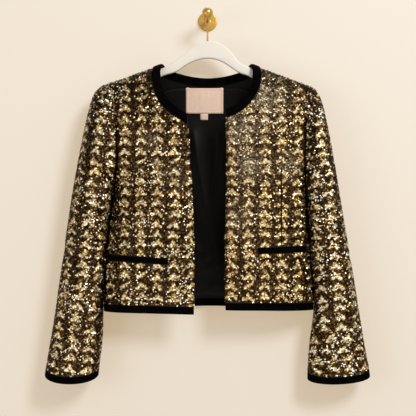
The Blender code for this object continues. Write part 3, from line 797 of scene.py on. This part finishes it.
def one_sequin():
    """The places and triangles of a small disc, cupped towards the cloth, that faces +Z."""
    disc = bmesh.new()
    bmesh.ops.create_circle(
        disc, cap_ends=True, cap_tris=True, segments=SEQUIN_SIDES, radius=SEQUIN_RADIUS
    )
    for vertex in disc.verts:
        if vertex.co.length < SEQUIN_RADIUS / 2:
            vertex.co.z = -SEQUIN_CUP
    disc.normal_update()
    disc.verts.index_update()
    points = np.array([vertex.co for vertex in disc.verts])
    triangles = np.array([[vertex.index for vertex in face.verts] for face in disc.faces])
    disc.free()
    return points, triangles


def sequin_frames(normals, direction, places):
    """Each sequin's own axes over the cloth, a little tilted: across, up and the way it faces."""
    count = len(places)
    up = np.array(direction) - normals * (normals @ np.array(direction))[:, None]
    up /= np.linalg.norm(up, axis=1, keepdims=True)
    side = np.cross(up, normals)
    ripple = RIPPLE_TIP * waves(places, RIPPLE_SIZE, LEAN_WAVES)
    lean = SEQUIN_LEAN + ripple + CHANCE.normal(0, SEQUIN_JITTER, count)
    roll = RIPPLE_TIP * waves(places, RIPPLE_SIZE, ROLL_WAVES) + CHANCE.normal(0, SEQUIN_JITTER, count)
    facing = normals * np.cos(lean)[:, None] + up * np.sin(lean)[:, None]
    facing = facing * np.cos(roll)[:, None] + side * np.sin(roll)[:, None]
    side = np.cross(up, facing)
    side /= np.linalg.norm(side, axis=1, keepdims=True)
    return side, np.cross(facing, side), facing


def sew_sequins(name, faces, finish, trims):
    """A mesh of small cupped discs in staggered rows, each a little tilted, over one side of a cloth."""
    places, normals, rows, columns, direction = sewn_spots(faces, name)
    others = solids_tree([other for other in SEQUINNED if other != name])
    free = clear_of(places, trims, TRIM_CLEAR)
    places, normals, rows, columns = places[free], normals[free], rows[free], columns[free]
    # Painted shade: sequins near the next piece of cloth get tone 0, dark as the shadowed gap between pieces;
    # a dart's are black too.
    faded = CHANCE.random(len(places)) < (places[:, 2] - SHADE_FADE_FOOT) / SHADE_FADE
    clear_of_seam_shade_and_dart = (clear_of(places, others, SEAM_SHADE) | faded) & clear_of_dart(places, name)
    wash = washed(name, places)
    tone = tones_of(name, places, rows, columns, wash) * clear_of_seam_shade_and_dart
    count = len(places)
    side, up, facing = sequin_frames(normals, direction, places)
    middle = places + normals * (SEQUIN_LIFT + CHANCE.random(count) * SEQUIN_LIFT)[:, None]
    turn = CHANCE.random(count) * math.tau
    along = side * np.cos(turn)[:, None] + up * np.sin(turn)[:, None]
    frames = np.stack((along, np.cross(facing, along), facing), 1)
    disc, disc_triangles = one_sequin()
    points = middle[:, None] + disc @ frames
    triangles = disc_triangles + np.arange(count)[:, None, None] * len(disc)
    data = bpy.data.meshes.new(name + "_sequins")
    data.from_pydata(points.reshape(-1, 3), [], triangles.reshape(-1, 3))
    silver = np.minimum(WASHED_SILVER * wash, 1)
    for attribute, values in (("tone", tone), ("silver", silver)):
        stored = data.attributes.new(attribute, "FLOAT", "POINT")
        stored.data.foreach_set("value", np.repeat(values, len(disc)).astype(np.float32))
    data.shade_flat()
    return put_mesh(name + "_sequins", data, (finish,))


# Pieces of the jacket

# Each flat piece of cloth: the rectangle that it is cut from, and its own area, in metres and square metres.
Cut = namedtuple("Cut", "width length area")
SEQUINNED = ("front_left", "front_right", "back", "sleeve_left", "sleeve_right")
# Which shell each velvet trim is sewn to.
TRIM_ON = {
    "neck_trim": "front_left_cloth",
    "hem_trim_left": "front_left_cloth",
    "hem_trim_right": "front_right_cloth",
    "hem_trim_back": "back_cloth",
    "cuff_trim_left": "sleeve_left_cloth",
    "cuff_trim_right": "sleeve_right_cloth",
    "pocket_trim_left": "front_left_cloth",
    "pocket_trim_right": "front_right_cloth",
}


def sequinned_panel(name, finishes, trims):
    """A shell on a panel's solid, satin inside, with its sequins sewn over the outer side."""
    form = smoothed(merged(name), CLOTH_LEVELS)
    outer, inner = outer_and_inner(form, outwards_of(name))
    press_creases(form, name, outer)
    sequins = sew_sequins(name, outer, finishes["sequins"], trims)
    for face in inner:
        face.material_index = 1
    shell = put(name + "_cloth", form, (finishes["ground"], finishes["satin"]), "sequins", name)


def lining(finishes):
    """The satin inside the back."""
    form = smoothed(merged("lining_back"), CLOTH_LEVELS)
    outer, _ = outer_and_inner(form, lambda place: Vector((0, -1, 0)))
    press_creases(form, "lining_back", outer)
    piece = put("lining_back_cloth", form, (finishes["satin"],), "satin", "lining_back")


def curl_neck_points(form):
    """Rounds the neck trim at the neck points, where it rises and curls a little inwards."""
    near = [edge for edge in form.edges if all(vertex.co.z > CURL_FOOT for vertex in edge.verts)]
    bmesh.ops.subdivide_edges(form, edges=near, cuts=1, use_grid_fill=True)
    for vertex in form.verts:
        start = vertex.co / MM
        for curl in CURLS:
            away = math.hypot(start.x - curl.x, start.z - curl.z) / curl.reach
            vertex.co += Vector((curl.inwards, 0, curl.rise)) * MM * math.exp(-away * away)
    tips = [vertex for vertex in form.verts if vertex.co.z > CURL_FOOT]
    for _ in range(CURL_ROUNDS):
        bmesh.ops.smooth_vert(
            form, verts=tips, factor=0.5, use_axis_x=True, use_axis_y=True, use_axis_z=True
        )


def velvet_trim(name, finish):
    """A trim with its fold rounded like a roll, and its cut edges rounded."""
    form = merged(name)
    fold = []
    cut = []
    for edge in sharp_edges(form):
        if edge.is_convex:
            narrowest = min(face.calc_area() / edge.calc_length() for face in edge.link_faces)
            (cut if narrowest < THIN_SIDE else fold).append(edge)
    rounded = ((fold, TRIM_ROLL, TRIM_ROLL_STEPS), (cut, TRIM_EDGE, TRIM_EDGE_STEPS))
    for edges, offset, segments in rounded:
        edges = [edge for edge in edges if edge.is_valid]
        bmesh.ops.bevel(
            form, geom=edges, offset=offset, segments=segments, profile=0.5, affect="EDGES", material=-1
        )
    if name == "neck_trim":
        curl_neck_points(form)
    piece = put(name + "_velvet", form, (finish,), "velvet", name)
    soften = piece.modifiers.new("Soften", "SUBSURF")
    soften.levels = VELVET_LEVELS
    soften.render_levels = VELVET_LEVELS


# The label's turned border, and how far its middle lies below it.
LABEL_BORDER = 4 * MM
LABEL_STEP = 0.3 * MM
# Short stitches inside the label's edge, sunk a little into it.
STITCH_INSET = 2.2 * MM
STITCH_LENGTH = 2.2 * MM
STITCH_PITCH = 3.2 * MM
STITCH_THICK = 0.45 * MM
STITCH_LIFT = 0.15 * MM
# Tacks at its top corners, which stand a little above its edge.
TACK_INSET = 4 * MM
TACK_DROP = 1 * MM
TACK_WIDTH = 8 * MM
TACK_HEIGHT = 4 * MM


def bare_label(name, finishes, border):
    """A plain woven label, its turned edges standing a little above the middle."""
    form = smoothed(merged(name), LABEL_LEVELS)
    outer, _ = outer_and_inner(form, lambda place: Vector((0, -1, 0)))
    if border:
        bmesh.ops.inset_region(form, faces=outer, thickness=border, use_even_offset=True)
        bmesh.ops.inset_region(form, faces=outer, thickness=LABEL_STEP, depth=-LABEL_STEP)
    piece = put(name + "_cloth", form, (finishes["label"],), "label", name)
    [label_stitches(name, finishes)] if border else []


def front_of(surface, x, z):
    """Where a line from the front meets a surface."""
    found, _, _, _ = surface.ray_cast(Vector((x, -1, z)), Vector((0, 1, 0)))
    return found


def label_stitches(name, finishes):
    """Short stitches round the label, inside its turned edge, and a tack at each top corner."""
    low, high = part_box(name)
    left = low.x + STITCH_INSET
    right = high.x - STITCH_INSET
    bottom = low.z + STITCH_INSET
    top = high.z - STITCH_INSET
    corners = [(left, bottom), (right, bottom), (right, top), (left, top)]
    surface = solids_tree([name])
    stitches = bmesh.new()
    for (from_x, from_z), (to_x, to_z) in zip(corners, corners[1:] + corners[:1]):
        length = math.hypot(to_x - from_x, to_z - from_z)
        count = int(length / STITCH_PITCH)
        turn = Matrix.Rotation(math.atan2(to_z - from_z, to_x - from_x), 4, "Y").inverted()
        for i in range(count):
            share = (i + 0.5) / count
            x = from_x + (to_x - from_x) * share
            z = from_z + (to_z - from_z) * share
            found = front_of(surface, x, z)
            place = Matrix.Translation(found - Vector((0, STITCH_LIFT, 0)))
            size = Matrix.Diagonal((STITCH_LENGTH / 2, STITCH_THICK / 2, STITCH_THICK / 2, 1))
            bmesh.ops.create_icosphere(stitches, subdivisions=1, radius=1, matrix=place @ turn @ size)
    sewn = len(stitches.faces)
    for x in (low.x + TACK_INSET, high.x - TACK_INSET):
        found = front_of(surface, x, top)
        place = Matrix.Translation((x, found.y, high.z - TACK_DROP))
        size = Matrix.Diagonal((TACK_WIDTH / 2, STITCH_THICK, TACK_HEIGHT / 2, 1))
        bmesh.ops.create_icosphere(stitches, subdivisions=2, radius=1, matrix=place @ size)
    stitches.faces.ensure_lookup_table()
    for tack in stitches.faces[sewn:]:
        tack.material_index = 1
    return put(name + "_stitches", stitches, (finishes["thread"], finishes["label"]), "label")


# Hanger and hooks

HANGER_EDGE = 3 * MM
HANGER_EDGE_STEPS = 3
# The outline is divided this often between its points, and drawn this much further in, so that its rounded
# edge comes out on the solid's rim.
OUTLINE_STEPS = 5
OUTLINE_INSET = 1 * MM
# Edges of the hanger that are sharper than this stay crisp.
HANGER_CRISP = math.radians(35)
# Faces whose normal leans less than this along Y are the hanger's rim.
FLAT_FACING = 0.99


def contour_hanger(finish):
    """The hanger with a smooth outline through its solid's rim, and rounded edges."""
    low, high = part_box("hanger")
    form = merged("hanger")
    cap_y = low.y + WELD
    cap = [vertex for vertex in form.verts if vertex.co.y < cap_y]
    rim = [edge for edge in form.edges if all(vertex in cap for vertex in edge.verts)]
    border = [edge for edge in rim if any(abs(face.normal.y) < FLAT_FACING for face in edge.link_faces)]
    joins = {}
    for edge in border:
        for vertex in edge.verts:
            joins.setdefault(vertex, []).append(edge.other_vert(vertex))
    outline = runs_of(joins)[0][:-1]
    curve = bpy.data.curves.new("hanger_outline", "CURVE")
    curve.dimensions = "2D"
    curve.fill_mode = "BOTH"
    thick = high.y - low.y
    curve.extrude = thick / 2 - HANGER_EDGE
    curve.bevel_depth = HANGER_EDGE
    curve.bevel_resolution = HANGER_EDGE_STEPS
    curve.offset = -OUTLINE_INSET
    curve.resolution_u = OUTLINE_STEPS
    spline = curve.splines.new("BEZIER")
    spline.bezier_points.add(len(outline) - 1)
    for point, vertex in zip(spline.bezier_points, outline):
        point.co = (vertex.co.x, vertex.co.z, 0)
        point.handle_left_type = "AUTO"
        point.handle_right_type = "AUTO"
    spline.use_cyclic_u = True
    form.free()
    holder = bpy.data.objects.new("hanger_outline", curve)
    show(holder)
    depsgraph = bpy.context.evaluated_depsgraph_get()
    moulded = bmesh.new()
    moulded.from_mesh(holder.evaluated_get(depsgraph).to_mesh())
    bpy.data.objects.remove(holder)
    bmesh.ops.remove_doubles(moulded, verts=moulded.verts, dist=WELD)
    stand = Matrix.Translation((0, (low.y + high.y) / 2, 0)) @ Matrix.Rotation(math.radians(90), 4, "X")
    bmesh.ops.transform(moulded, matrix=stand, verts=moulded.verts)
    piece = put("hanger_moulded", moulded, (finish,), "hanger", "hanger")
    piece.data.set_sharp_from_angle(angle=HANGER_CRISP)


def metal_piece(piece_name, solid, finish, slot, levels):
    """A metal piece from its solid's mesh, its facets smoothed away and its rims kept."""
    form = smoothed(merged(solid), levels)
    piece = put(piece_name, form, (finish,), slot, solid)
    piece.data.set_sharp_from_angle(angle=RIM_ANGLE)


# Stage, light and camera

def backdrop():
    """A plain wall behind the jacket and a plain floor far below it."""
    wall = bmesh.new()
    bmesh.ops.create_grid(wall, x_segments=1, y_segments=1, size=STAGE_REACH)
    bmesh.ops.rotate(wall, matrix=Matrix.Rotation(math.radians(90), 3, "X"), verts=wall.verts)
    floor = bmesh.new()
    bmesh.ops.create_grid(floor, x_segments=1, y_segments=1, size=STAGE_REACH)
    bmesh.ops.translate(floor, vec=(0, 0, FLOOR_Z), verts=floor.verts)
    # The wall and floor share the glowing paint, painted light that lightens the shadows on them.
    paint = wall_finish()
    for name, form in (("stage_wall", wall), ("stage_floor", floor)):
        data = bpy.data.meshes.new(name)
        form.to_mesh(data)
        form.free()
        data.materials.append(paint)
        staged = bpy.data.objects.new(name, data)
        show(staged)
        staged.visible_shadow = False
        staged.visible_diffuse = False


Lamp = namedtuple("Lamp", "name place size power colour")
LAMPS = (
    Lamp("key_light", (1.3, -2.2, 1.2), 0.8, 60, (1.0, 0.96, 0.90)),
    Lamp("fill_light", (-1.8, -1.8, -0.4), 1.2, 12, (1.0, 0.97, 0.93)),
    Lamp("back_light", (0.2, 1.4, 1.9), 1.4, 34, (1.0, 0.97, 0.93)),
)
LAMP_AIM = Vector((0, 0, -0.35))
WORLD_COLOUR = (1.0, 0.93, 0.84)
WORLD_STRENGTH = 0.42


def lights():
    """Soft studio lamps aimed at the jacket, and an even pale surrounding."""
    for lamp in LAMPS:
        data = bpy.data.lights.new(lamp.name, "AREA")
        data.size = lamp.size
        data.energy = lamp.power
        data.color = lamp.colour
        light = bpy.data.objects.new(lamp.name, data)
        show(light)
        light.location = lamp.place
        light.rotation_euler = (LAMP_AIM - Vector(lamp.place)).to_track_quat("-Z", "Y").to_euler()
    world = bpy.data.worlds.new("studio")
    world.use_nodes = True
    background = world.node_tree.nodes["Background"]
    background.inputs["Color"].default_value = (*WORLD_COLOUR, 1)
    background.inputs["Strength"].default_value = WORLD_STRENGTH
    bpy.context.scene.world = world
    bpy.context.scene.view_settings.view_transform = "Standard"


def camera():
    """A level camera that takes the photograph's view."""
    data = bpy.data.cameras.new("camera")
    data.sensor_width = SENSOR
    data.lens = SENSOR / (IMAGE_SIDE * VIEW_SCALE)
    eye = bpy.data.objects.new("camera", data)
    show(eye)
    eye.location = CAMERA_PLACE
    eye.rotation_euler = (math.radians(90), 0, 0)
    bpy.context.scene.camera = eye


def main():
    """Dresses every solid, then sets the stage."""
    finishes = {
        "sequins": sequin_finish(),
        "ground": ground_finish(),
        "satin": satin_finish(),
        "velvet": velvet_finish(),
        "label": label_finish(),
        "thread": thread_finish(),
    }
    trims = solids_tree(TRIM_ON)
    for name in SEQUINNED:
        sequinned_panel(name, finishes, trims)
    lining(finishes)
    for name, rests_on in TRIM_ON.items():
        velvet_trim(name, finishes["velvet"])
    bare_label("label", finishes, LABEL_BORDER)
    bare_label("size_tab", finishes, 0)
    contour_hanger(hanger_finish())
    wire = brass_finish("hook_wire", stretch=(1, 1, 0.1))
    metal_piece("hook_wire", "hanger_hook", wire, "hook_wire", levels=2)
    brass = brass_finish("brass", stretch=(1, 0.15, 1))
    metal_piece("peg_and_ball", "wall_peg", brass, "brass", levels=1)
    metal_piece("round_plate", "wall_plate", brass, "brass", levels=1)
    backdrop()
    lights()
    camera()


main()
